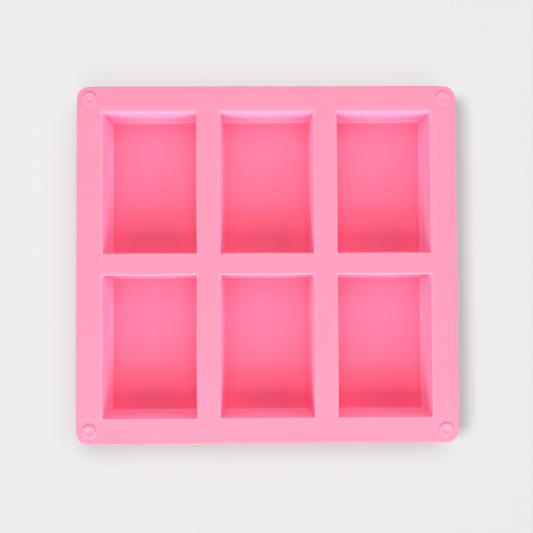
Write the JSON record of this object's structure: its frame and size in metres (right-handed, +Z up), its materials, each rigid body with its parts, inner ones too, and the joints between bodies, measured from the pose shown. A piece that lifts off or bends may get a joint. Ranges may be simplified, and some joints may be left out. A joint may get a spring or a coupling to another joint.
{
  "type": "soap bar mould tray",
  "caption": "Flexible silicone tray with rectangular straight-sided cavities hanging from a flat deck, for casting rows of soap bars.",
  "frame": {"origin": "on the surface that the cups stand on, under the middle of the tray", "axes": "+X to the right across the three columns of cavities, +Y to the back across the two rows, +Z up out of the cavity mouths"},
  "size_m": [0.216, 0.203, 0.0258],
  "materials": {
    "silicone": "satin"
  },
  "bodies": {
    "root": {"deck": "silicone", "cavity_front_left": "silicone", "cavity_front_centre": "silicone", "cavity_front_right": "silicone", "cavity_back_left": "silicone", "cavity_back_centre": "silicone", "cavity_back_right": "silicone", "corner_stud_front_left": "silicone", "corner_stud_front_right": "silicone", "corner_stud_back_left": "silicone", "corner_stud_back_right": "silicone"}
  },
  "joints": []
}
